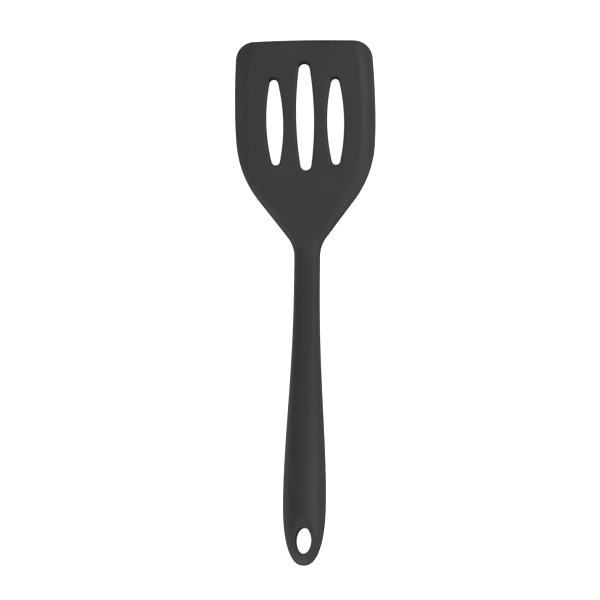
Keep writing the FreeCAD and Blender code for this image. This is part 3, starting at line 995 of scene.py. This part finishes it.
class TURNER_OT_studio(bpy.types.Operator):
    """Set the camera, the floor, the world and the lights"""

    bl_idname = "turner.studio"
    bl_label = "Studio"

    FLOOR_HALF = 4.0
    FLOOR_GAP = 0.0002            # keeps the floor just clear of the skin
    LIT_PLACE = (0.0, 0.0, 0.01)
    KEY_PLACE = (0.62, -0.05, 1.25)
    KEY_SIZE = (0.45, 1.0)
    FILL_PLACE = (-0.32, -1.34, 0.78)
    FILL_SIZE = (1.9, 0.5)
    SENSOR = 36.0                 # millimetres across
    FAR_CLIP = 50.0
    # The room shades off between these heights of the direction looked in: 1 is straight up.
    FLOOR_SHADE = (-0.75, -0.2)
    CEILING_SHADE = (0.2, 0.55)
    BELOW = 0.05                  # what is left of the walls' glow far below

    def execute(self, context):
        scene = context.scene
        studio = scene.turner_studio
        self.add_floor(studio)
        self.add_camera(scene, studio, heel_place())
        softbox("key_softbox", self.KEY_PLACE, self.LIT_PLACE, self.KEY_SIZE, studio.key_power)
        softbox("fill_softbox", self.FILL_PLACE, self.LIT_PLACE, self.FILL_SIZE,
                studio.fill_power)
        scene.world = self.white_room(studio.wall_glow, studio.ceiling_glow,
                                      studio.room_lean)
        scene.view_settings.view_transform = "Standard"
        return {"FINISHED"}

    def white_room(self, glow, ceiling, lean):
        """Bright white walls, a dimmer ceiling, and shade below the floor's level."""
        world = bpy.data.worlds.new("white_room")
        world.use_nodes = True
        nodes = world.node_tree.nodes
        links = world.node_tree.links
        direction = nodes.new("ShaderNodeTexCoord")
        height = nodes.new("ShaderNodeVectorMath")
        height.operation = "DOT_PRODUCT"
        height.inputs[1].default_value = (0.0, math.sin(lean), math.cos(lean))
        links.new(direction.outputs["Generated"], height.inputs[0])
        strength = nodes.new("ShaderNodeMath")
        strength.operation = "MULTIPLY"
        spans = ((*self.FLOOR_SHADE, self.BELOW * glow, glow),
                 (*self.CEILING_SHADE, 1.0, ceiling / glow))
        for number, (low, high, below, above) in enumerate(spans):
            level = nodes.new("ShaderNodeMapRange")
            level.interpolation_type = "SMOOTHSTEP"
            level.inputs["From Min"].default_value = low
            level.inputs["From Max"].default_value = high
            level.inputs["To Min"].default_value = below
            level.inputs["To Max"].default_value = above
            links.new(height.outputs["Value"], level.inputs["Value"])
            links.new(level.outputs["Result"], strength.inputs[number])
        sky = nodes["Background"]
        links.new(strength.outputs[0], sky.inputs["Strength"])
        sky.inputs["Color"].default_value = (1.0, 1.0, 1.0, 1.0)
        return world

    def add_floor(self, studio):
        """A floor that neither mirrors nor lights anything: the room does that."""
        half = self.FLOOR_HALF
        low = CAD_BOX[0][2] - self.FLOOR_GAP
        corners = np.array([(-half, -half, low), (half, -half, low), (half, half, low),
                            (-half, half, low)])
        floor = mesh_piece("floor", corners, [(0, 1, 2, 3)], floor_material(studio.floor_glow))
        floor.visible_glossy = False
        floor.visible_diffuse = False

    def add_camera(self, scene, studio, heel):
        """Looks down from the handle's side, swung to the right and rolled a little."""
        camera = bpy.data.objects.new("camera", bpy.data.cameras.new("camera"))
        scene.collection.objects.link(camera)
        swing = Matrix.Rotation(studio.sidestep, 3, "Y")
        back = swing @ Vector((0.0, -math.cos(studio.elevation), math.sin(studio.elevation)))
        up = swing @ Vector((0.0, math.sin(studio.elevation), math.cos(studio.elevation)))
        up = Matrix.Rotation(studio.roll, 3, back) @ up
        target = heel + Vector((-studio.aim_left, -studio.aim_back, 0.0))
        aim(camera, target + back * studio.distance, target, up)
        camera.data.sensor_width = self.SENSOR
        camera.data.lens = self.SENSOR * studio.distance / studio.picture_width
        camera.data.clip_end = self.FAR_CLIP
        scene.camera = camera


class TURNER_PT_panel(bpy.types.Panel):
    """Everything of the turner in one place"""

    bl_idname = "TURNER_PT_panel"
    bl_label = "Slotted turner"
    bl_space_type = "VIEW_3D"
    bl_region_type = "UI"
    bl_category = "Turner"

    def draw(self, context):
        scene = context.scene
        for operator in BUILDERS:
            self.layout.operator(operator.bl_idname)
        for group in (scene.turner_shape, scene.turner_finish, scene.turner_studio):
            box = self.layout.box()
            for prop in group.bl_rna.properties:
                if prop.identifier not in ("rna_type", "name"):
                    box.prop(group, prop.identifier)


GROUPS = {"turner_shape": TurnerShape, "turner_finish": TurnerFinish,
          "turner_studio": TurnerStudio}
BUILDERS = (TURNER_OT_skin, TURNER_OT_steel, TURNER_OT_core, TURNER_OT_studio)


def register():
    for cls in (*GROUPS.values(), *BUILDERS, TURNER_PT_panel):
        bpy.utils.register_class(cls)
    for name, group in GROUPS.items():
        setattr(bpy.types.Scene, name, PointerProperty(type=group))


def unregister():
    for name in GROUPS:
        delattr(bpy.types.Scene, name)
    for cls in reversed((*GROUPS.values(), *BUILDERS, TURNER_PT_panel)):
        bpy.utils.unregister_class(cls)


def main():
    register()
    bpy.ops.turner.skin()
    bpy.ops.turner.steel()
    bpy.ops.turner.core()
    bpy.ops.turner.studio()


if __name__ == "__main__":
    main()
